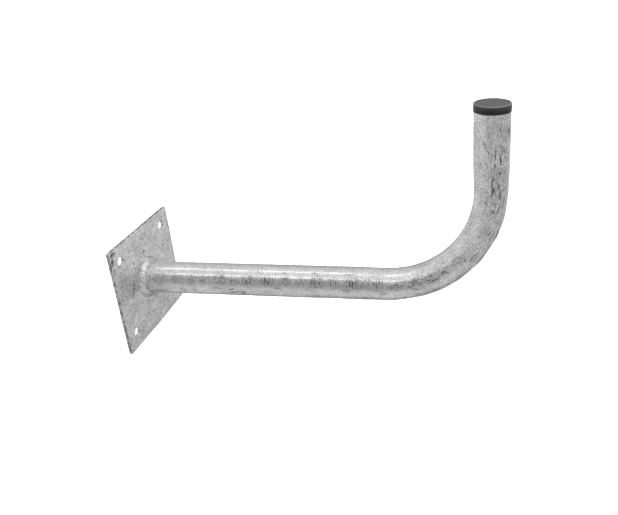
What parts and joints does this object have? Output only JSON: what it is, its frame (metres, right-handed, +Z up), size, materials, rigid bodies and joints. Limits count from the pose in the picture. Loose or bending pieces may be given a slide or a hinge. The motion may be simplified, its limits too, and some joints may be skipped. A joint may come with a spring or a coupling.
{
  "type": "l-bracket",
  "caption": "Galvanised wall bracket: drilled square plate, round tube welded to it that runs out level and bends up at a right angle, plastic cap in the open end.",
  "frame": {"origin": "centre of the wall plate's back face, on the arm's axis", "axes": "+X out from the wall along the arm, +Y across the plate, +Z up along the upright"},
  "size_m": [0.4583, 0.14, 0.2931],
  "materials": {
    "plate_zinc": "hot-dip galvanised, dull mottled grey with faint spangle",
    "tube_zinc": "hot-dip galvanised, bright on the arm and mottled grey with dark pits past the bend",
    "weld_zinc": "rippled weld under a bright zinc coat",
    "cap_plastic": "moulded dark grey, fine matt grain"
  },
  "bodies": {
    "root": {"wall_plate": "plate_zinc", "bent_tube": "tube_zinc", "weld_bead": "weld_zinc", "end_cap": "cap_plastic"}
  },
  "joints": []
}
